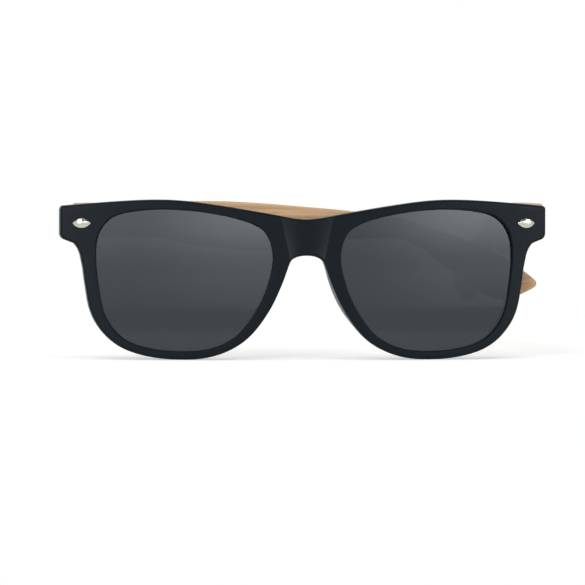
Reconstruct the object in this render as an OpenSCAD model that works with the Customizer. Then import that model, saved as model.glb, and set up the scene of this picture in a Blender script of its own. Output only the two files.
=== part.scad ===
// Sunglasses: a moulded plastic front, dark lenses, riveted hinges and bamboo temples.
// X runs along the front, Y from the lenses to the tips, Z up. Z is 0 under the rims,
// and Y is 0 on the front face of the bridge. Left and right are as seen from in front.

/* [Lenses] */
// Visible width of one lens
lens_w = 52.2; // [46:0.2:58]
// Visible height of one lens
lens_h = 42; // [36:0.2:48]
// Distance between the two lenses
lens_gap = 20.2; // [17:0.2:26]
// Lens thickness
lens_t = 2; // [1.4:0.1:2.4]
// Depth of the lens edge in its groove
lens_edge = 0.8; // [0.4:0.1:1.2]
// Room around the lens edge in its groove
lens_clearance = 0.05; // [0.02:0.01:0.1]

/* [Front] */
// Radius of the front's curve in plan
front_r = 290; // [200:10:600]
// Thickness of the rims
rim_t = 4.2; // [3.8:0.1:6]
// Rim width above the lens
rim_top = 2.8; // [2.2:0.1:5]
// Rim width below the lens
rim_bottom = 2.5; // [2:0.1:5]
// Rim width on the temple side of the lens
rim_outer = 3.7; // [2.6:0.1:6]
// Rim width on the nose side of the lens
rim_nose = 4.2; // [2.6:0.1:5]
// Dip of the brow line at the bridge
brow_dip = 5.8; // [3:0.1:8]
// Height of the bridge at its middle
bridge_h = 10.7; // [7:0.1:14]
// Length of the end blocks beyond the lens
end_w = 10.2; // [10:0.1:14]
// Height of the end blocks
end_h = 10.2; // [9:0.1:13]
// Radius of the end blocks' upper corners
end_top_r = 1; // [0.5:0.1:2]
// Radius of the end blocks' lower corners
end_low_r = 2; // [1:0.1:3]
// Drop of the end blocks' top below the top of the brow
end_drop = 1.9; // [1:0.1:4]
// Depth of the front from the bridge to the temple butts
front_d = 14; // [13.5:0.1:18]
// Height of the nose pads' middle above the lowest point of the lenses
pad_rise = 15; // [12:0.5:20]
// Height of the nose pads behind the rims
pad_h = 4.6; // [2:0.1:7]
// Length of the nose pads
pad_l = 21; // [14:0.5:24]
// Width of the nose pads
pad_w = 3.2; // [2:0.1:3.6]

/* [Temples] */
// Length of a temple from its butt to its tip
temple_l = 138.5; // [125:0.5:155]
// Thickness of a temple at its butt
temple_t = 3.8; // [3:0.1:5]
// Thickness of a temple at its tip
tip_t = 3; // [2:0.1:3.8]
// Height of the butt
butt_h = 10.2; // [9.2:0.1:13]
// Rise of the butts above the end blocks
butt_rise = 0.55; // [0:0.05:1]
// Height of the belly in the middle of a temple
belly_h = 14.2; // [11.5:0.1:17]
// Height of the neck before the ear
neck_h = 6.3; // [5:0.1:9]
// Drop of the tip below the top of the butt
ear_drop = 28.8; // [22:0.2:36]
// Radius of the inward bend of the tip in plan
ear_r = 260; // [180:5:500]
// Droop of the left temple, as an angle
left_droop = 0; // [0:0.5:4]
// Droop of the right temple, as an angle
right_droop = 2; // [0:0.5:4]
// Gap between a butt and its end block when open
butt_gap = 0.2; // [0.1:0.05:0.5]
// Fold of the left temple as drawn, 90 is shut
left_fold = 90; // [0:1:90]
// Fold of the right temple as drawn, 0 is open
right_fold = 0; // [0:1:79]

/* [Hinges] */
// Radius of the knuckles
knuckle_r = 1.4; // [1.2:0.05:1.6]
// Height of each front knuckle
front_knuckle_h = 1.8; // [1.2:0.1:2.2]
// Height of the temple knuckle
temple_knuckle_h = 2.2; // [1.6:0.1:2.6]
// Gap between knuckles
knuckle_gap = 0.1; // [0.05:0.05:0.3]
// Thickness of the hinge plates
plate_t = 0.8; // [0.5:0.05:1]
// Length of the temple leaf
leaf_l = 11; // [9:0.5:16]
// Height of the hinge plates
plate_h = 5.6; // [4.6:0.1:6.4]
// Distance from the back of the end blocks to the hinge screws
pivot_back = 1; // [0.8:0.1:1.6]
// Distance from the lenses to the front hinge plates
plate_wall = 1.4; // [1.4:0.1:2]
// Room between the knuckles and the hinge plates
plate_room = 0.5; // [0.3:0.05:0.8]
// Room between the knuckles and the temple
knuckle_room = 0.35; // [0.3:0.05:0.6]
// Radius of the hinge screws
screw_r = 0.7; // [0.5:0.05:0.8]
// Radius of the hinge screw heads
screw_head_r = 1.2; // [1:0.05:1.4]
// Height of the hinge screw heads
screw_head_h = 0.5; // [0.3:0.05:0.8]
// Radius of the leaf screws
leaf_screw_r = 0.5; // [0.4:0.05:0.6]
// Radius of the leaf screw heads
leaf_head_r = 1; // [0.8:0.05:1.2]
// Height of the leaf screw heads
leaf_head_h = 0.4; // [0.2:0.05:0.6]
// Distance of the leaf screws from the ends of the leaf
leaf_screw_in = 2; // [1.4:0.1:2.5]
// Depth of the leaf screws in the bamboo
leaf_screw_l = 2.4; // [1.5:0.1:2.6]
// Clearance around screws and rivet pins
pin_clearance = 0.05; // [0.02:0.01:0.08]

/* [Rivet shields] */
// Length of a shield between its points
shield_l = 5.4; // [4.5:0.1:6.5]
// Height of a shield
shield_h = 2.8; // [2.2:0.1:3.4]
// Rise of the dome over its rim
shield_dome = 0.55; // [0.3:0.05:0.8]
// Thickness of the shield's rim
shield_rim = 0.3; // [0.2:0.05:0.5]
// Distance from the shield's centre to the end of the front
shield_in = 6.2; // [5.6:0.1:7]
// Radius of the rivet pins
pin_r = 0.45; // [0.35:0.05:0.55]
// Distance between the two rivet pins
pin_pitch = 2.4; // [2:0.1:2.8]

/* [Hidden] */
$fn = 64;
samples = 3;
over = 1;

// Places along the front
lens_in = lens_gap / 2;
lens_out = lens_in + lens_w;
half_w = lens_out + end_w;
lens_top = rim_bottom + lens_h;
front_top = lens_top + rim_top;
bridge_top = front_top - brow_dip;
arch_z = bridge_top - bridge_h;
end_top = front_top - end_drop;
end_bottom = end_top - end_h;
end_mid = (end_top + end_bottom) / 2;

// Places at the hinges, for the right side
temple_in = half_w - temple_t;
pivot_x = temple_in - knuckle_room - knuckle_r;
pivot_y = front_d + pivot_back;
butt_y = front_d + butt_gap;
hinge_z = end_mid;
butt_top = end_top + butt_rise;
seat_y = pivot_y - knuckle_r - plate_room - plate_t;
side_room = 0.3;
step_x = temple_in - side_room;
plate_in = lens_out + plate_wall;
plate_out = step_x - side_room / 3;
leaf_x = temple_in - plate_t;
leaf_start = pivot_y + knuckle_r + plate_room;
leaf_end = pivot_y + leaf_l;
leaf_hole_l = leaf_screw_l + pin_clearance;
bore_r = screw_r + pin_clearance;
web_w = 1.6 * knuckle_r;
knuckle_z = temple_knuckle_h / 2 + knuckle_gap;

// Place of the rivet shields, and the length of their pins up to the hinge plate
shield_x = half_w - shield_in;
shield_lean = asin(shield_x / front_r);
shield_y = front_r - front_r * cos(shield_lean);
pin_l = (seat_y - shield_y) / cos(shield_lean) - (pin_pitch / 2 + pin_r) * tan(shield_lean) - pin_clearance;

// Places along the temples
tip_gap = temple_t - tip_t;
bend_s = 0.66 * temple_l;

// A smooth curve through points, with n steps from each point to the next
function blend(a, b, c, d, t) =
    b + (c - a) * t / 2 + (2 * a - 5 * b + 4 * c - d) * t * t / 2 + (3 * b - a - 3 * c + d) * t * t * t / 2;
function loop_curve(p, n) =
    let (m = len(p))
    [for (i = [0 : m - 1]) for (k = [0 : n - 1])
        blend(p[(i + m - 1) % m], p[i], p[(i + 1) % m], p[(i + 2) % m], k / n)];
function run_curve(p, n) =
    let (m = len(p) - 1)
    [for (i = [0 : m - 1]) for (k = [0 : n - 1])
        blend(p[max(i - 1, 0)], p[i], p[i + 1], p[min(i + 2, m)], k / n)];
function arc(c, r, from, to, n) =
    [for (k = [0 : n]) c + r * [cos(from + (to - from) * k / n), sin(from + (to - from) * k / n)]];
function backwards(p) = [for (i = [len(p) - 1 : -1 : 0]) p[i]];
function flipped(p) = [for (q = backwards(p)) [-q[0], q[1]]];
function part_of(p, from, to) = [for (i = [from : to]) p[i]];

// A closed clockwise outline moved outwards by its own width on each of its four sides
function out_way(p, i) =
    let (m = len(p), t = p[(i + 1) % m] - p[(i + m - 1) % m])
    [-t[1], t[0]] / norm(t);
function side_width(way, top, bottom, outer, nose) =
    let (share = pow(way[0], 4))
    share * (way[0] > 0 ? outer : nose) + (1 - share) * (way[1] > 0 ? top : bottom);
function grown(p, top, bottom, outer, nose) =
    [for (i = [0 : len(p) - 1])
        let (way = out_way(p, i))
        p[i] + way * side_width(way, top, bottom, outer, nose)];
function grown_evenly(p, w) = grown(p, w, w, w, w);

// The lens outline, as shares of its width and height, from the nose up, over and back
lens_shape = [
    [0, 0.655], [0.029, 0.81], [0.097, 0.886], [0.233, 0.943], [0.425, 0.985], [0.615, 1],
    [0.787, 0.985], [0.914, 0.939], [0.986, 0.822], [1, 0.657], [0.982, 0.453], [0.946, 0.247],
    [0.846, 0.091], [0.697, 0.021], [0.51, 0], [0.346, 0.022], [0.208, 0.108], [0.105, 0.269],
    [0.035, 0.452]];
lens_line = loop_curve(
    [for (p = lens_shape) [lens_in + p[0] * lens_w, rim_bottom + p[1] * lens_h]], samples);
rim_line = grown(lens_line, rim_top, rim_bottom, rim_outer, rim_nose);

// Half of the front's outline: brow, end block, rim and the arch over the nose
brow_points = [
    [-1.06 * lens_in, bridge_top + 0.29 * brow_dip], [0, bridge_top],
    [1.06 * lens_in, bridge_top + 0.29 * brow_dip],
    [lens_in + 0.264 * lens_w, front_top - 0.33 * brow_dip],
    [lens_in + 0.497 * lens_w, front_top - 0.05 * brow_dip],
    [lens_in + 0.691 * lens_w, front_top],
    [lens_in + 0.924 * lens_w, front_top - 0.37 * end_drop], [half_w - end_top_r, end_top]];
brow = run_curve(brow_points, samples);
end_line = concat(
    arc([half_w - end_top_r, end_top - end_top_r], end_top_r, 90, 0, samples),
    arc([half_w - end_low_r, end_bottom + end_low_r], end_low_r, 0, -80, samples + 1));
below_end = run_curve([
    [lens_out + 0.6 * end_w, end_bottom - 0.09 * end_h],
    [lens_out + 0.49 * end_w, end_bottom - 0.245 * end_h],
    [lens_out + 1.1 * rim_outer, end_bottom - 0.49 * end_h]], samples);
rim_from = 9 * samples + 1;
rim_to = 18 * samples;
arch = run_curve([
    [0.69 * lens_in, arch_z - 0.7 * bridge_h], [0.55 * lens_in, arch_z - 0.32 * bridge_h],
    [0.455 * lens_in, arch_z - 0.12 * bridge_h], [0.24 * lens_in, arch_z - 0.024 * bridge_h],
    [0, arch_z], [-0.24 * lens_in, arch_z - 0.024 * bridge_h]], samples);
half_front = concat(
    part_of(brow, samples, len(brow) - 1), end_line, below_end,
    part_of(rim_line, rim_from, rim_to), part_of(arch, 0, 4 * samples));
front_line = concat(
    part_of(half_front, 1, len(half_front) - 2), flipped(part_of(half_front, 0, len(half_front) - 1)));

// The temple seen from its side, from the butt along the top to the tip and back
temple_top = [
    [0, 0], [0.14 * temple_l, 0.012 * ear_drop], [0.295 * temple_l, 0.021 * ear_drop], [0.4 * temple_l, 0],
    [0.505 * temple_l, -0.042 * ear_drop], [0.582 * temple_l, -0.073 * ear_drop],
    [0.646 * temple_l, -0.108 * ear_drop],
    [0.709 * temple_l, -0.156 * ear_drop], [0.786 * temple_l, -0.278 * ear_drop],
    [0.874 * temple_l, -0.424 * ear_drop], [0.933 * temple_l, -0.573 * ear_drop],
    [0.982 * temple_l, -0.74 * ear_drop], [temple_l, -0.82 * ear_drop]];
temple_bottom = [
    [0.998 * temple_l, -0.845 * ear_drop], [0.978 * temple_l, -0.906 * ear_drop],
    [0.926 * temple_l, -ear_drop], [0.874 * temple_l, -0.903 * ear_drop],
    [0.832 * temple_l, -0.764 * ear_drop], [0.789 * temple_l, -0.604 * ear_drop],
    [0.744 * temple_l, -0.448 * ear_drop], [0.705 * temple_l, -0.15 * ear_drop - neck_h],
    [0.646 * temple_l, -0.146 * ear_drop - neck_h], [0.568 * temple_l, -0.174 * ear_drop - neck_h],
    [0.534 * temple_l, -0.93 * belly_h], [0.49 * temple_l, -1.02 * belly_h], [0.407 * temple_l, -belly_h],
    [0.275 * temple_l, -0.9 * belly_h], [0.18 * temple_l, -butt_h], [0, -butt_h]];
temple_line = concat(run_curve(temple_top, samples), run_curve(temple_bottom, samples), [[0, -butt_h]]);

// The temple seen from above: flat to the neck, then bent inwards and thinner to the tip
function bend_at(s) = pow(max(s - bend_s, 0), 2) / (2 * ear_r);
function thin_at(s) = tip_gap * max(s - bend_s, 0) / (temple_l - bend_s);
bend_steps = [for (k = [0 : 8]) bend_s + (temple_l + over - bend_s) * k / 8];
temple_plan = concat(
    [[temple_in, 0]], [for (s = bend_steps) [temple_in - bend_at(s), s]],
    [for (s = backwards(bend_steps)) [half_w - bend_at(s) - thin_at(s), s]], [[half_w, 0]]);

// A flat outline in X and Z, raised along Y
module raised(outline, from, to)
    translate([0, to, 0]) rotate([90, 0, 0]) linear_extrude(to - from) polygon(outline);

// A sheet that follows the front's curve, between two depths behind its face
module curved_sheet(from, to)
    difference() {
        curved_body(from);
        translate([0, front_r, -2 * over]) cylinder(r = front_r - to, h = front_top + 4 * over, $fn = 128);
    }

// All that lies behind a depth under the front's curved face
module curved_body(from)
    translate([0, front_r, -over])
        cylinder(r = front_r - from, h = front_top + 2 * over, $fn = 128);

module both_sides() {
    children();
    mirror([1, 0, 0]) children();
}

// A right-hand piece of a hinge or temple, swung about its hinge screw
module swung(fold)
    translate([pivot_x, pivot_y, 0]) rotate([0, 0, fold]) translate([-pivot_x, -pivot_y, 0]) children();
module on_right_temple() swung(right_fold) children();
module on_left_temple() mirror([1, 0, 0]) swung(left_fold) children();
module on_left_side() mirror([1, 0, 0]) children();

// The frame of a rivet shield: its face looks along -Y and its pins run along +Y
module at_shield()
    translate([shield_x, shield_y, end_mid]) rotate([0, 0, shield_lean]) children();
module shield_pins(r, from, to)
    at_shield()
        for (way = [-1, 1])
            translate([way * pin_pitch / 2, from, 0])
                rotate([-90, 0, 0]) cylinder(r = r, h = to - from, $fn = 32);

// The two rims, the bridge, the end blocks and the nose pads
module front_body() {
    intersection() {
        raised(front_line, -over, front_d);
        union() {
            curved_sheet(0, rim_t);
            intersection() {
                curved_body(0);
                both_sides() {
                    end_block(plate_in - side_room, seat_y);
                    end_block(step_x, front_d);
                }
            }
        }
    }
    both_sides() nose_pad();
}

// The end block from a place along X to the end, as deep as the seat of the hinge or the butt
module end_block(from, depth)
    translate([from, 0, end_bottom - over]) cube([end_w, depth, end_h + end_drop + 2 * over]);

// A pad that swells backwards from the nose side of the rim, and fades into it at both ends
module nose_pad() {
    pad_z = rim_bottom + pad_rise;
    pad_bow = (pow(pad_l / 2, 2) + pow(pad_h, 2)) / (2 * pad_h);
    pad_from = 15 * samples + 2;
    intersection() {
        raised(concat(part_of(rim_line, pad_from, rim_to + samples - 1),
                      backwards(part_of(grown_evenly(lens_line, rim_nose - pad_w),
                                        pad_from, rim_to + samples - 1))),
               rim_t / 2, front_d);
        translate([0, rim_t + pad_h - pad_bow, pad_z])
            rotate([0, 90, 0]) cylinder(r = pad_bow, h = lens_out, $fn = 96);
    }
}

module front_frame() color("#25292c")
    difference() {
        front_body();
        both_sides() {
            raised(lens_line, -over, front_d + over);
            intersection() {
                raised(grown_evenly(lens_line, lens_edge + lens_clearance), -over, front_d);
                curved_sheet((rim_t - lens_t) / 2 - lens_clearance, (rim_t + lens_t) / 2 + lens_clearance);
            }
            shield_pins(pin_r + pin_clearance, -over, front_d);
            hinge_seat();
        }
    }

// The flat seat of the front hinge plate, sunk where the curved rim is deeper than the plate
module hinge_seat()
    translate([plate_in - side_room, seat_y, hinge_z - plate_h / 2 - side_room])
        cube([step_x - plate_in + side_room, rim_t + front_d, plate_h + 2 * side_room]);

module lens() color("#4c4f52")
    intersection() {
        raised(grown_evenly(lens_line, lens_edge), -over, front_d);
        curved_sheet((rim_t - lens_t) / 2, (rim_t + lens_t) / 2);
    }
module right_lens() lens();
module left_lens() on_left_side() lens();

// One of the two round sides whose crossing makes the pointed oval
module shield_side(r, z)
    translate([0, 0, z]) rotate([90, 0, 0]) cylinder(r = r, h = shield_rim + shield_dome, $fn = 96);

// A pointed oval head with a domed face, and two pins through the end block to the hinge plate
module rivet_shield() color("#c9cbcd") {
    half_l = shield_l / 2;
    half_h = shield_h / 2;
    side_r = (pow(half_l, 2) + pow(half_h, 2)) / (2 * half_h);
    dome_r = (pow(half_l, 2) + pow(shield_dome, 2)) / (2 * shield_dome);
    at_shield() {
        intersection() {
            shield_side(side_r, half_h - side_r);
            shield_side(side_r, side_r - half_h);
            translate([0, dome_r - shield_dome - shield_rim, 0]) sphere(r = dome_r, $fn = 96);
        }
    }
    shield_pins(pin_r, -shield_rim, pin_l);
}
module right_rivet_shield() rivet_shield();
module left_rivet_shield() on_left_side() rivet_shield();

// A plate on the back of the end block, with the upper and lower knuckles
module front_hinge() color("#b9bbbd")
    difference() {
        union() {
            translate([plate_in, seat_y, hinge_z - plate_h / 2])
                cube([plate_out - plate_in, plate_t, plate_h]);
            for (z = [knuckle_z, -knuckle_z - front_knuckle_h])
                translate([pivot_x, pivot_y, hinge_z + z]) {
                    cylinder(r = knuckle_r, h = front_knuckle_h);
                    translate([-web_w / 2, seat_y - pivot_y, 0])
                        cube([web_w, pivot_y - seat_y, front_knuckle_h]);
                }
        }
        translate([pivot_x, pivot_y, 0]) cylinder(r = bore_r, h = front_top);
    }
module right_front_hinge() front_hinge();
module left_front_hinge() on_left_side() front_hinge();

// The hinge screw, with its slotted head on the upper knuckle
module hinge_screw() color("#d2d3d4") {
    head_z = hinge_z + knuckle_z + front_knuckle_h;
    shank = 2 * (knuckle_z + front_knuckle_h);
    slot_w = screw_head_r / 4;
    translate([pivot_x, pivot_y, head_z - shank]) cylinder(r = screw_r, h = shank + screw_head_h / 2);
    difference() {
        translate([pivot_x, pivot_y, head_z]) cylinder(r = screw_head_r, h = screw_head_h);
        translate([pivot_x - screw_head_r, pivot_y - slot_w / 2, head_z + screw_head_h / 2])
            cube([2 * screw_head_r, slot_w, screw_head_h]);
    }
}
module right_hinge_screw() hinge_screw();
module left_hinge_screw() on_left_side() hinge_screw();

// The leaf screws lie across the temple, at two places along the leaf
module across_leaf(r, from, to)
    for (s = [leaf_start + leaf_screw_in, leaf_end - leaf_screw_in])
        translate([from, s, hinge_z]) rotate([0, 90, 0]) cylinder(r = r, h = to - from, $fn = 32);

// A bamboo strip, turned down by its droop about the lower corner of its butt
module temple(droop) color("#c9a877")
    difference() {
        translate([0, butt_y, butt_top - butt_h]) rotate([-droop, 0, 0]) translate([0, 0, butt_h])
            intersection() {
                rotate([90, 0, 90]) linear_extrude(half_w + over) polygon(temple_line);
                translate([0, 0, -ear_drop - over]) linear_extrude(ear_drop + 3 * over) polygon(temple_plan);
            }
        across_leaf(leaf_screw_r + pin_clearance, temple_in - over, temple_in + leaf_hole_l);
    }
module right_temple() on_right_temple() temple(right_droop);
module left_temple() on_left_temple() temple(left_droop);

// A leaf on the inner face of the temple, with the middle knuckle
module temple_hinge() color("#b9bbbd")
    difference() {
        union() {
            translate([leaf_x, leaf_start, hinge_z - plate_h / 2])
                cube([plate_t, leaf_end - leaf_start, plate_h]);
            translate([leaf_x, pivot_y, hinge_z - temple_knuckle_h / 2])
                cube([plate_t, leaf_start - pivot_y + over, temple_knuckle_h]);
            translate([pivot_x, pivot_y, hinge_z - temple_knuckle_h / 2])
                cylinder(r = knuckle_r, h = temple_knuckle_h);
        }
        translate([pivot_x, pivot_y, 0]) cylinder(r = bore_r, h = front_top);
        across_leaf(leaf_screw_r + pin_clearance, leaf_x - over, temple_in + over);
    }
module right_temple_hinge() on_right_temple() temple_hinge();
module left_temple_hinge() on_left_temple() temple_hinge();

module leaf_screws() color("#d2d3d4") {
    across_leaf(leaf_screw_r, leaf_x - leaf_head_h / 2, temple_in + leaf_screw_l);
    across_leaf(leaf_head_r, leaf_x - leaf_head_h, leaf_x);
}
module right_leaf_screws() on_right_temple() leaf_screws();
module left_leaf_screws() on_left_temple() leaf_screws();

front_frame();
left_lens();
right_lens();
left_rivet_shield();
right_rivet_shield();
left_front_hinge();
right_front_hinge();
left_hinge_screw();
right_hinge_screw();
left_temple();
right_temple();
left_temple_hinge();
right_temple_hinge();
left_leaf_screws();
right_leaf_screws();
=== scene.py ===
import math

import bmesh
import bpy
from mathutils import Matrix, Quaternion, Vector
from mathutils.kdtree import KDTree


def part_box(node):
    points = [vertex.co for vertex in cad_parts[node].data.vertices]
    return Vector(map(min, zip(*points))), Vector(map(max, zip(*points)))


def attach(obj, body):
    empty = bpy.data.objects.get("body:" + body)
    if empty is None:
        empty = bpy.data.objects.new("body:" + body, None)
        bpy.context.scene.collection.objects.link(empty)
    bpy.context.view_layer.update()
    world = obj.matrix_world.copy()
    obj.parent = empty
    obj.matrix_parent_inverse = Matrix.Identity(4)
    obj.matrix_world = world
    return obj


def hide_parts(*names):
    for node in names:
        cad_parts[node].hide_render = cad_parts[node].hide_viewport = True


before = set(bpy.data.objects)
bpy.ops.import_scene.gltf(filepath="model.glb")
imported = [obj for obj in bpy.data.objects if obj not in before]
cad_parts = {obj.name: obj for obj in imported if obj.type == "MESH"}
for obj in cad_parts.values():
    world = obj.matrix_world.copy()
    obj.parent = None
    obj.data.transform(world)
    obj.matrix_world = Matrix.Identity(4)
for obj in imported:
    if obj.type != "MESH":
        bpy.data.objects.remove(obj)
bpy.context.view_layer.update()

# Front. One moulding of black plastic with both rims, the bridge, the end blocks and the nose
# pads, all on one gentle curve. The mould is finely blasted, so the plastic is satin, and the
# edges are rounded. The lenses are snapped into a groove that runs round each rim.
mm = 0.001
front_r = 290 * mm
rim_t = 4.2 * mm
front_d = 14 * mm
lens_t = 2 * mm
lens_depth = (rim_t - lens_t) / 2
lens_play = 0.05 * mm
# The bow is measured on heights from -1 at a lens's bottom to 1 at its top. lens_apex is the height of
# its foremost line, and lens_forward the share of the bow by which the lens is moved forwards.
lens_bow = 0.4 * mm
lens_apex = -0.8
lens_forward = 0.65
groove_depth = 0.85 * mm
least_side = 0.3 * mm
merge_play = 0.001 * mm
slice_play = 0.0005 * mm
curve_play = 0.02 * mm
side_points = 20
smooth_rounds = 3
sharp_angle = math.radians(50)
rim_end = 64 * mm
edge_rings = [d * mm for d in (0.03, 0.1, 0.2, 0.33, 0.5, 0.7)]
edge_band = edge_rings[-1]
lens_band = 1.5 * edge_band
lean_end = 2.5 * edge_band
outer_round = 0.7 * mm
lens_slope = (0.3 * mm, 0.55 * mm)
back_round = 0.5 * mm
lens_back_round = 0.2 * mm
grid_step = 2 * mm
step_x = 68.4 * mm
seat_x = 63.4 * mm
seat_y = 12.3 * mm
seat_low = 35.2 * mm
step_run = 0.05 * mm
saddle_top = (7.7 * mm, 41.5 * mm)
saddle_low = (5.3 * mm, 30.3 * mm)
saddle_depth = 1.1 * mm
saddle_crease = 0.15 * mm
pad_middle = 17.5 * mm
pad_l = 21 * mm
pad_h = 4.6 * mm
pad_reach = 16 * mm
pad_fade = 4 * mm
pad_end = 1.5
pad_rise = (0.2 * mm, 2.4 * mm)
usual_noise = (0.3, 0.7)


def linear(hex_colour):
    """A colour written as sRGB hex, as the linear RGBA that a socket takes."""
    parts = [int(hex_colour[i:i + 2], 16) / 255 for i in (1, 3, 5)]
    return [c / 12.92 if c <= 0.04045 else ((c + 0.055) / 1.055) ** 2.4 for c in parts] + [1]


def new_material(name):
    """A material with its shader, ready for its settings."""
    material = bpy.data.materials.new(name)
    material.use_nodes = True
    return material, material.node_tree.nodes["Principled BSDF"]


def add(material, kind, settings=None, **inputs):
    """Adds a node with its settings, and sets or links its inputs by name or number."""
    tree = material.node_tree
    node = tree.nodes.new(kind)
    for key, value in (settings or {}).items():
        setattr(node, key, value)
    for key, value in inputs.items():
        socket = node.inputs[int(key[1:])] if key[0] == "i" and key[1:].isdigit() else node.inputs[key]
        if isinstance(value, bpy.types.NodeSocket):
            tree.links.new(value, socket)
        else:
            socket.default_value = value
    return node


def spread(material, noise, low, high):
    """A noise whose usual values are stretched to run from low to high."""
    usual_low, usual_high = usual_noise
    return add(material, "ShaderNodeMapRange", i0=noise, i1=usual_low, i2=usual_high,
               i3=low, i4=high).outputs[0]


def smoothstep(low, high, value):
    """0 below low, 1 above high, and a smooth rise between."""
    t = min(max((value - low) / (high - low), 0), 1)
    return t * t * (3 - 2 * t)


def depth_at(x):
    """How far the front's curved face lies behind the bridge, at a place along X."""
    return front_r - math.sqrt(front_r ** 2 - x ** 2)


lens_low, lens_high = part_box("left_lens")


def bow_at(z):
    """How far a lens and its groove lie behind the front's own curve, at a height."""
    up = (2 * z - lens_high.z - lens_low.z) / (lens_high.z - lens_low.z)
    return lens_bow * ((up - lens_apex) ** 2 - (1 + lens_apex ** 2) * lens_forward)


def copy_of(node):
    """A merged copy of a node's mesh."""
    mesh = bmesh.new()
    mesh.from_mesh(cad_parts[node].data)
    bmesh.ops.remove_doubles(mesh, verts=mesh.verts, dist=merge_play)
    return mesh


def slice_at(mesh, point, normal):
    """Cuts all faces along a plane, and keeps both sides."""
    geom = mesh.verts[:] + mesh.edges[:] + mesh.faces[:]
    bmesh.ops.bisect_plane(mesh, geom=geom, dist=slice_play, plane_co=point, plane_no=normal)


def slice_grid(mesh, low, high, step):
    """Cuts a flat sheet into squares, so that it can be curved."""
    for axis in (0, 2):
        count = int((high[axis] - low[axis]) / step)
        for k in range(1, count + 1):
            point = Vector((0, 0, 0))
            point[axis] = low[axis] + k * (high[axis] - low[axis]) / (count + 1)
            slice_at(mesh, point, [float(i == axis) for i in range(3)])


def flat_sheet(node, depth):
    """The outline of the part of a node that lies on the front's curve at a depth, laid flat, as edges
    only.
    """
    mesh = copy_of(node)
    radius = front_r - depth
    far = [f for f in mesh.faces
           if any(abs(math.hypot(v.co.x, v.co.y - front_r) - radius) > curve_play for v in f.verts)]
    bmesh.ops.delete(mesh, geom=far, context="FACES")
    inner = [e for e in mesh.edges if not e.is_boundary]
    bmesh.ops.delete(mesh, geom=inner, context="EDGES")
    for v in mesh.verts:
        v.co.y = 0
    return mesh


def edge_loops(mesh):
    """The closed loops of a mesh that has only edges, the longest first."""
    left = set(mesh.edges)
    loops = []
    while left:
        loop = [left.pop()]
        for edge in loop:
            linked = {e for v in edge.verts for e in v.link_edges} & left
            left -= linked
            loop.extend(linked)
        loops.append(loop)
    return sorted(loops, key=lambda loop: -sum(e.calc_length() for e in loop))


def nearest(points):
    """A tree that finds the nearest of some points."""
    tree = KDTree(len(points))
    for i, point in enumerate(points):
        tree.insert(point, i)
    tree.balance()
    return tree


def fill_flat(mesh):
    """Rounds the corners between an outline's short sides, and fills it, holes left open."""
    bmesh.ops.remove_doubles(mesh, verts=mesh.verts, dist=least_side)
    rims = [v for v in mesh.verts if abs(v.co.x) < rim_end]
    for _ in range(smooth_rounds):
        bmesh.ops.smooth_vert(mesh, verts=rims, factor=0.5, use_axis_x=True, use_axis_z=True)
    bmesh.ops.triangle_fill(mesh, use_beauty=True, edges=mesh.edges[:], normal=(0, -1, 0))


def inset_rings(mesh, distances):
    """Insets a flat sheet in rings, and notes on every point how far it lies from the edge."""
    reach = mesh.verts.layers.float.new("reach")
    inner = mesh.faces[:]
    last = 0
    for distance in distances:
        bmesh.ops.inset_region(mesh, faces=inner, thickness=distance - last,
                               use_boundary=True, use_even_offset=True)
        for v in {v for f in inner for v in f.verts}:
            v[reach] = distance
        last = distance
    return reach


def round_off(reach, wide, deep):
    """How far a rounded edge falls back: deep on the edge itself, nothing beyond wide from it."""
    share = max(1 - reach / wide, 0)
    return deep * (1 - math.sqrt(1 - share ** 2))


def piece(mesh, name, body, slot, material, *nodes):
    """A finished mesh as an object that stands for its nodes and moves with its body."""
    bmesh.ops.recalc_face_normals(mesh, faces=mesh.faces)
    data = bpy.data.meshes.new(name)
    mesh.to_mesh(data)
    mesh.free()
    # The corner normals that came with the CAD mesh don't fit the new faces.
    data.attributes.remove(data.attributes["custom_normal"])
    data.materials.append(material)
    data.shade_smooth()
    data.set_sharp_from_angle(angle=sharp_angle)
    made = bpy.data.objects.new(name, data)
    bpy.context.scene.collection.objects.link(made)
    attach(made, body)
    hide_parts(*nodes)
    return made


front = flat_sheet("front_frame", 0)
# The longest loop is the outline, the next two are the lens openings, and the rest the rivets' holes.
openings = edge_loops(front)[1:]
pin_holes = [e for loop in openings[2:] for e in loop]
bmesh.ops.delete(front, geom=pin_holes, context="EDGES")
fill_flat(front)
lens_sides = [e for loop in openings[:2] for e in loop]
lens_edges = nearest([e.verts[0].co.lerp(e.verts[1].co, k / side_points)
                      for e in lens_sides for k in range(side_points)])


def lens_distance(v):
    """How far a point lies from the edge of the nearer lens opening, seen from in front."""
    return lens_edges.find((v.co.x, 0, v.co.z))[2]


reach = inset_rings(front, edge_rings)
low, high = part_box("front_frame")
slice_grid(front, low, high, grid_step)
saddle_lean = (saddle_top[0] - saddle_low[0]) / (saddle_top[1] - saddle_low[1])
for side in (-1, 1):
    for beside in (-saddle_crease, 0, saddle_crease):
        slice_at(front, (side * (saddle_top[0] + beside), 0, saddle_top[1]), (side, 0, -saddle_lean))


def saddle_share(v):
    """How far a point lies across the bridge's scoop: 0 in the middle, 1 on its slanted edges."""
    half = saddle_low[0] + (v.co.z - saddle_low[1]) * saddle_lean
    return abs(v.co.x) / half if abs(v.co.x) < pad_reach and v.co.z > pad_middle else 1


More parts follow.
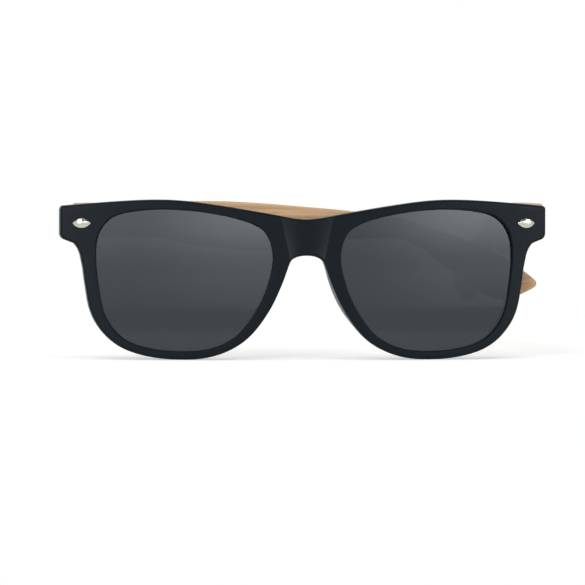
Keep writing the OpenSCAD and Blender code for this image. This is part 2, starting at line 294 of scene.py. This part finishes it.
extruded = bmesh.ops.extrude_face_region(front, geom=front.faces[:])
back = {g for g in extruded["geom"] if isinstance(g, bmesh.types.BMVert)}
walls = [e for e in front.edges if (e.verts[0] in back) != (e.verts[1] in back)]
lens_walls = [e for e in walls if lens_distance(e.verts[0]) < edge_band / 2]
for v in front.verts:
    by_lens = lens_distance(v) < lens_band
    if v in back:
        width = lens_back_round if by_lens else back_round
        behind = rim_t - round_off(v[reach], width, width)
    else:
        scoop = saddle_depth * max(1 - saddle_share(v) ** 2, 0)
        behind = scoop + round_off(v[reach], *(lens_slope if by_lens else (outer_round, outer_round)))
    v.co.y = depth_at(v.co.x) + behind

cut = bmesh.ops.subdivide_edges(front, edges=lens_walls, cuts=2)
lips = {g for g in cut["geom_inner"] if isinstance(g, bmesh.types.BMVert)}
for v in lips:
    before_lens = v.co.y - depth_at(v.co.x) < rim_t / 2
    lip = lens_depth - lens_play if before_lens else lens_depth + lens_t + lens_play
    v.co.y = depth_at(v.co.x) + lip + bow_at(v.co.z)
bmesh.ops.recalc_face_normals(front, faces=front.faces)
between_lips = [f for f in front.faces if lips.issuperset(f.verts)]
sunk = bmesh.ops.extrude_face_region(front, geom=between_lips)
bmesh.ops.delete(front, geom=[f for f in between_lips if f.is_valid], context="FACES")
front.normal_update()
for v in [g for g in sunk["geom"] if isinstance(g, bmesh.types.BMVert)]:
    v.co -= groove_depth * Vector((v.normal.x, 0, v.normal.z)).normalized()

for v in front.verts:
    lean = 1 - smoothstep(edge_band, lean_end, lens_distance(v))
    v.co.x -= lean * (v.co.y - depth_at(v.co.x)) * v.co.x / front_r

for side in (-1, 1):
    for x in (step_x, step_x - step_run, seat_x, seat_x - step_run):
        slice_at(front, (side * x, 0, 0), (1, 0, 0))
for v in front.verts:
    behind = v.co.y - depth_at(v.co.x)
    if behind < rim_t / 2:
        continue
    across = abs(v.co.x)
    if across > step_x - step_run / 2:
        v.co.y += front_d - depth_at(v.co.x) - rim_t
    elif across > seat_x - step_run / 2 and v.co.z > seat_low:
        v.co.y += seat_y - depth_at(v.co.x) - rim_t
    elif across < pad_reach:
        along = (v.co.z - pad_middle) / (pad_l / 2)
        swell = pad_h * max(1 - along ** 2, 0) ** pad_end
        inwards = 1 - smoothstep(pad_reach - pad_fade, pad_reach, across)
        v.co.y += swell * inwards * smoothstep(*pad_rise, lens_distance(v))

# The blasted mould leaves a fine grit, which spreads the lamps into a soft sheen on cool black.
# The grit is drawn at 0.5 mm, coarser than the real one, so that it shows.
grit_w = 0.5 * mm
black, shader = new_material("Satin black moulded plastic")
shader.inputs["Base Color"].default_value = linear("#0c1216")
shader.inputs["Specular IOR Level"].default_value = 0.12
shader.inputs["Specular Tint"].default_value = linear("#e7f6ff")
place = add(black, "ShaderNodeTexCoord").outputs["Object"]
grit = add(black, "ShaderNodeTexNoise", Vector=place, Scale=1 / grit_w, Detail=3)
dents = add(black, "ShaderNodeBump", Height=grit.outputs["Fac"], Strength=0.15, Distance=0.02 * mm)
black.node_tree.links.new(dents.outputs["Normal"], shader.inputs["Normal"])
satin = spread(black, grit.outputs["Fac"], 0.32, 0.42)
black.node_tree.links.new(satin, shader.inputs["Roughness"])
piece(front, "front_moulding", "front", "front_plastic", black, "front_frame")

# Lenses. Two cut sheets of grey tinted polycarbonate, bowed a little and leaning back at the top,
# whose edges sit in the groove of the rims. They are polished, so they mirror the studio and let
# little light through.
lens_rings = [d * mm for d in (0.05, 0.15, 0.4)]
lens_round = lens_rings[1]

# The polish gives clear, slightly blue reflections, and the tint only a dim view of what lies behind.
polish_w = 6 * mm
grey, shader = new_material("Grey tinted polycarbonate")
shader.inputs["Base Color"].default_value = linear("#1c1e20")
place = add(grey, "ShaderNodeTexCoord").outputs["Object"]
haze = add(grey, "ShaderNodeTexNoise", Vector=place, Scale=1 / polish_w, Detail=2)
polish = spread(grey, haze.outputs["Fac"], 0.02, 0.05)
grey.node_tree.links.new(polish, shader.inputs["Roughness"])
shader.inputs["IOR"].default_value = 1.58
shader.inputs["Specular Tint"].default_value = linear("#edf8ff")
shader.inputs["Transmission Weight"].default_value = 1

for side in ("left", "right"):
    lens = flat_sheet(f"{side}_lens", lens_depth)
    fill_flat(lens)
    reach = inset_rings(lens, lens_rings)
    low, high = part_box(f"{side}_lens")
    slice_grid(lens, low, high, grid_step)
    extruded = bmesh.ops.extrude_face_region(lens, geom=lens.faces[:])
    back = {g for g in extruded["geom"] if isinstance(g, bmesh.types.BMVert)}
    for v in lens.verts:
        fall = round_off(v[reach], lens_round, lens_round)
        behind = lens_depth + (lens_t - fall if v in back else fall)
        v.co.y = depth_at(v.co.x) + behind + bow_at(v.co.z)
        v.co.x -= behind * v.co.x / front_r
    piece(lens, f"{side}_tinted_lens", "front", "lens", grey, f"{side}_lens")

# Rivets. Pointed oval shields stamped from nickel silver and polished, on two pins that go through
# the end blocks and hold the hinge plates behind them.
rivet_round = 0.06 * mm
flat_angle = math.radians(0.5)
round_angle = math.radians(40)


def bevel(mesh, edges, width, segments):
    """Rounds edges to a width, in a number of steps."""
    bmesh.ops.bevel(mesh, geom=edges, offset=width, offset_type="OFFSET", segments=segments,
                    profile=0.5, affect="EDGES", material=-1, clamp_overlap=False)


def eased(node, width, segments=2, keep=lambda e: True):
    """A merged copy of a node, with its sharp edges rounded."""
    mesh = copy_of(node)
    bmesh.ops.dissolve_limit(mesh, angle_limit=flat_angle, verts=mesh.verts, edges=mesh.edges)
    sharp = [e for e in mesh.edges if e.calc_face_angle(0) > round_angle and keep(e)]
    bevel(mesh, sharp, width, segments)
    return mesh


def metal(name, colour, mark, smooth, dull):
    """A metal whose gloss varies between smooth and dull in marks of one size."""
    made, shader = new_material(name)
    shader.inputs["Base Color"].default_value = linear(colour)
    shader.inputs["Metallic"].default_value = 1
    place = add(made, "ShaderNodeTexCoord").outputs["Object"]
    marks = add(made, "ShaderNodeTexNoise", Vector=place, Scale=1 / mark, Detail=3)
    gloss = spread(made, marks.outputs["Fac"], smooth, dull)
    made.node_tree.links.new(gloss, shader.inputs["Roughness"])
    dents = add(made, "ShaderNodeBump", Height=marks.outputs["Fac"], Strength=0.1, Distance=mark / 50)
    made.node_tree.links.new(dents.outputs["Normal"], shader.inputs["Normal"])
    return made


# Buffed after stamping: bright and a little warm, with soft-edged highlights.
silver = metal("Buffed nickel silver", "#bebbb2", 0.8 * mm, 0.1, 0.16)
for side in ("left", "right"):
    rivet = eased(f"{side}_rivet_shield", rivet_round)
    piece(rivet, f"{side}_rivet", "front", "rivet_metal", silver, f"{side}_rivet_shield")

# Hinges. Plates and knuckles of nickel-plated steel: two knuckles on the plate behind each end
# block, one on the leaf that is screwed to the temple, and a slotted screw as the axle.
hinge_round = 0.12 * mm
screw_round = 0.08 * mm

# Tumbled before plating, so the plates are a duller, greyer white than the screws.
steel = metal("Tumbled nickel-plated steel", "#b4b3b0", 0.5 * mm, 0.26, 0.4)
# Turned from bar and left bright.
bright = metal("Turned bright steel", "#c4c4c3", 0.3 * mm, 0.16, 0.28)
for side in ("left", "right"):
    arm = f"{side}_arm"
    piece(eased(f"{side}_front_hinge", hinge_round), f"{side}_hinge_plate", "front", "hinge_steel",
          steel, f"{side}_front_hinge")
    piece(eased(f"{side}_hinge_screw", screw_round), f"{side}_axle_screw", "front", "screw_steel",
          bright, f"{side}_hinge_screw")
    piece(eased(f"{side}_temple_hinge", hinge_round), f"{side}_hinge_leaf", arm, "hinge_steel",
          steel, f"{side}_temple_hinge")
    piece(eased(f"{side}_leaf_screws", screw_round), f"{side}_wood_screws", arm, "screw_steel",
          bright, f"{side}_leaf_screws")

# Temples. Strips of laminated bamboo, sawn to the flared outline, bent inwards at the tip, sanded
# round on all long edges and oiled. The fibres run along the strip.
temple_round = 0.7 * mm
round_steps = 3
screw_margin = 1 * mm
fibre = (25 * mm, 0.5 * mm)
band = (160 * mm, 3 * mm)
fleck = (5 * mm, 0.3 * mm)


def along_grain(material, grain, size, detail):
    """Noise drawn out along the fibres, by the length and the width of its marks and their fineness."""
    scale = (1 / size[0], 1 / size[1], 1 / size[1])
    drawn = add(material, "ShaderNodeMapping", Vector=grain, Scale=scale)
    marks = add(material, "ShaderNodeTexNoise", Vector=drawn.outputs["Vector"], Scale=1, Detail=detail)
    return marks.outputs["Fac"]


def clear_of(box, axes, margin):
    """A test for edges whose middle lies outside a box and its margin, along some axes."""
    def outside(e):
        middle = (e.verts[0].co + e.verts[1].co) / 2
        return not all(box[0][i] - margin < middle[i] < box[1][i] + margin for i in axes)

    return outside


# Pale tan with long fine streaks, broader bands where the glued strips differ, and short dark flecks
# where fibres are cut. The fibres are drawn at 0.5 mm, coarser than the real ones, so that they show.
bamboo, shader = new_material("Oiled bamboo")
grain = add(bamboo, "ShaderNodeAttribute", {"attribute_name": "grain"}).outputs["Vector"]
fibres = along_grain(bamboo, grain, fibre, 4)
bands = along_grain(bamboo, grain, band, 1)
tone = add(bamboo, "ShaderNodeMix", {"data_type": "FLOAT"}, Factor=0.35, A=fibres, B=bands)
tones = add(bamboo, "ShaderNodeValToRGB", Fac=tone.outputs["Result"])
for stop, (at, tan) in zip(tones.color_ramp.elements, ((0.28, "#9f7750"), (0.72, "#d6b48c"))):
    stop.position = at
    stop.color = linear(tan)
flecks = along_grain(bamboo, grain, fleck, 1)
cut_fibres = add(bamboo, "ShaderNodeMapRange", i0=flecks, i1=0.6, i2=0.75, i3=0, i4=0.45)
colour = add(bamboo, "ShaderNodeMix", {"data_type": "RGBA"}, Factor=cut_fibres.outputs[0])
bamboo.node_tree.links.new(tones.outputs["Color"], colour.inputs["A"])
colour.inputs["B"].default_value = linear("#83603f")
bamboo.node_tree.links.new(colour.outputs["Result"], shader.inputs["Base Color"])
oil = spread(bamboo, fibres, 0.42, 0.58)
bamboo.node_tree.links.new(oil, shader.inputs["Roughness"])
ridges = add(bamboo, "ShaderNodeBump", Height=fibres, Strength=0.3, Distance=0.05 * mm)
bamboo.node_tree.links.new(ridges.outputs["Normal"], shader.inputs["Normal"])

for side, along in (("left", 0), ("right", 1)):
    off_screws = clear_of(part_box(f"{side}_leaf_screws"), (along, 2), screw_margin)
    temple = eased(f"{side}_temple", temple_round, round_steps, off_screws)
    made = piece(temple, f"{side}_bamboo_temple", f"{side}_arm", "bamboo", bamboo, f"{side}_temple")
    follow = made.data.attributes.new("grain", "FLOAT_VECTOR", "POINT")
    for v, value in zip(made.data.vertices, follow.data):
        value.vector = (v.co[along], v.co.z, v.co[1 - along])

# Floor, light and camera. A pale matt floor that fades into a white backdrop, softboxes above, high in
# front and at both sides, a long low one in front, all hidden from the camera, and a long lens a little
# left of the middle.
view_left = math.radians(7)
view_up = math.radians(2)
view_roll = math.radians(0.2)
view_far = 3000 * mm
aim = Vector((-4.4 * mm, 0, 20 * mm))
pixel = 0.2956 * mm
picture = 585
sensor = 36
sight_end = 20
floor_reach = 3
fade_start = 0.16
fade_end = 0.4
near_glow = 0.3
room_light = 0.4
room_front = 0.08
room_turn = (-0.2, 0.6)
horizon = (0.1, 0.2)


def either(holder, a, b):
    """The larger of two values, so 1 where either of two kinds of ray is meant."""
    return add(holder, "ShaderNodeMath", {"operation": "MAXIMUM"}, i0=a, i1=b).outputs[0]


def softbox(name, place, size, brightness, rightwards=((0, 1),), upwards=((0, 1),)):
    """A rectangular lamp that faces the glasses, with the share of its light at stops along both sides."""
    lamp = bpy.data.lights.new(name, "AREA")
    lamp.shape = "RECTANGLE"
    lamp.size, lamp.size_y = size
    lamp.energy = brightness * math.pi * size[0] * size[1]
    lamp.use_nodes = True
    surface = add(lamp, "ShaderNodeNewGeometry").outputs["Parametric"]
    spot = add(lamp, "ShaderNodeSeparateXYZ", Vector=surface)
    shares = []
    for axis, stops in (("X", rightwards), ("Y", upwards)):
        ramp = add(lamp, "ShaderNodeValToRGB", Fac=spot.outputs[axis])
        ramp.color_ramp.interpolation = "EASE"
        ramp.color_ramp.elements.remove(ramp.color_ramp.elements[1])
        for k, (at, share) in enumerate(stops):
            stop = ramp.color_ramp.elements.new(at) if k else ramp.color_ramp.elements[0]
            stop.position = at
            stop.color = (share, share, share, 1)
        shares.append(ramp.outputs["Color"])
    share = add(lamp, "ShaderNodeMath", {"operation": "MULTIPLY"}, i0=shares[0], i1=shares[1])
    lamp.node_tree.links.new(share.outputs[0], lamp.node_tree.nodes["Emission"].inputs["Strength"])
    holder = bpy.data.objects.new(name, lamp)
    bpy.context.scene.collection.objects.link(holder)
    holder.location = place
    holder.rotation_euler = (aim - Vector(place)).to_track_quat("-Z", "Y").to_euler()
    holder.visible_camera = False


softbox("softbox_above", (0, -0.1, 1.2), (1.2, 0.9), 1.6)
soft_edges = ((0, 0), (0.35, 1), (0.65, 1), (1, 0))
softbox("softbox_high", (-0.5, -1.1, 1.0), (1.8, 0.5), 1.8, soft_edges, soft_edges)
softbox("softbox_left", (-0.9, -1.4, 0.4), (0.7, 0.9), 12.5, soft_edges, soft_edges)
softbox("softbox_right", (1.2, -1.2, 0.4), (0.7, 0.9), 10, soft_edges, soft_edges)
softbox("softbox_front", (0.5, -1.7, 0.3), (3, 0.6), 2.8,
        rightwards=((0.12, 0.4), (0.33, 0.9), (0.46, 0.2), (0.64, 1)),
        upwards=((0, 0.12), (0.15, 0.27), (0.38, 0.95), (0.46, 1), (0.6, 0)))

white, shader = new_material("White paper sweep")
shader.inputs["Roughness"].default_value = 0.9
shader.inputs["Specular IOR Level"].default_value = 0
place = add(white, "ShaderNodeTexCoord").outputs["Object"]
away = add(white, "ShaderNodeVectorMath", {"operation": "LENGTH"}, i0=place).outputs["Value"]
fade = add(white, "ShaderNodeMapRange", {"interpolation_type": "SMOOTHSTEP"},
           i0=away, i1=fade_start, i2=fade_end)
way = add(white, "ShaderNodeLightPath").outputs
seen = either(white, either(white, way["Is Camera Ray"], way["Is Glossy Ray"]), way["Is Transmission Ray"])
far = add(white, "ShaderNodeMath", {"operation": "MULTIPLY"}, i0=fade.outputs[0], i1=seen)
pale = add(white, "ShaderNodeMix", {"data_type": "RGBA"}, Factor=far.outputs[0])
pale.inputs["A"].default_value = linear("#f4f4f4")
pale.inputs["B"].default_value = linear("#000000")
white.node_tree.links.new(pale.outputs["Result"], shader.inputs["Base Color"])
white_share = add(white, "ShaderNodeMapRange", i0=fade.outputs[0], i3=near_glow, i4=1)
glow = add(white, "ShaderNodeMath", {"operation": "MULTIPLY"}, i0=white_share.outputs[0], i1=seen)
shader.inputs["Emission Color"].default_value = (1, 1, 1, 1)
white.node_tree.links.new(glow.outputs[0], shader.inputs["Emission Strength"])

floor_mesh = bmesh.new()
bmesh.ops.create_grid(floor_mesh, x_segments=1, y_segments=1, size=floor_reach)
floor_data = bpy.data.meshes.new("floor")
floor_mesh.to_mesh(floor_data)
floor_mesh.free()
floor_data.materials.append(white)
floor = bpy.data.objects.new("floor", floor_data)
bpy.context.scene.collection.objects.link(floor)

world = bpy.data.worlds.new("studio")
bpy.context.scene.world = world
world.use_nodes = True
way = add(world, "ShaderNodeLightPath").outputs
seen = either(world, way["Is Camera Ray"], way["Is Transmission Ray"])
outwards = add(world, "ShaderNodeTexCoord").outputs["Generated"]
way_out = add(world, "ShaderNodeSeparateXYZ", Vector=outwards)
far_half = add(world, "ShaderNodeMapRange", {"interpolation_type": "SMOOTHSTEP"},
               i0=way_out.outputs["Y"], i1=room_turn[0], i2=room_turn[1])
low_part = add(world, "ShaderNodeMapRange", {"interpolation_type": "SMOOTHSTEP"},
               i0=way_out.outputs["Z"], i1=horizon[0], i2=horizon[1], i3=1, i4=0)
pale_part = either(world, far_half.outputs[0], low_part.outputs[0])
mirrored = add(world, "ShaderNodeMapRange", i0=pale_part, i3=room_front, i4=1)
unseen = add(world, "ShaderNodeMapRange", i0=way["Is Glossy Ray"], i3=room_light, i4=mirrored.outputs[0])
brightness = add(world, "ShaderNodeMapRange", i0=seen, i3=unseen.outputs[0], i4=1)
backdrop = world.node_tree.nodes["Background"]
backdrop.inputs["Color"].default_value = (1, 1, 1, 1)
world.node_tree.links.new(brightness.outputs[0], backdrop.inputs["Strength"])

camera_data = bpy.data.cameras.new("camera")
camera_data.sensor_width = sensor
camera_data.lens = sensor * view_far / (picture * pixel)
camera_data.clip_end = sight_end
camera = bpy.data.objects.new("camera", camera_data)
bpy.context.scene.collection.objects.link(camera)
towards = Vector((-math.sin(view_left) * math.cos(view_up), -math.cos(view_left) * math.cos(view_up),
                  math.sin(view_up)))
camera.location = aim + view_far * towards
rolled = Quaternion((0, 0, 1), view_roll)
camera.rotation_euler = ((-towards).to_track_quat("-Z", "Y") @ rolled).to_euler()
bpy.context.scene.camera = camera
bpy.context.scene.view_settings.view_transform = "Standard"
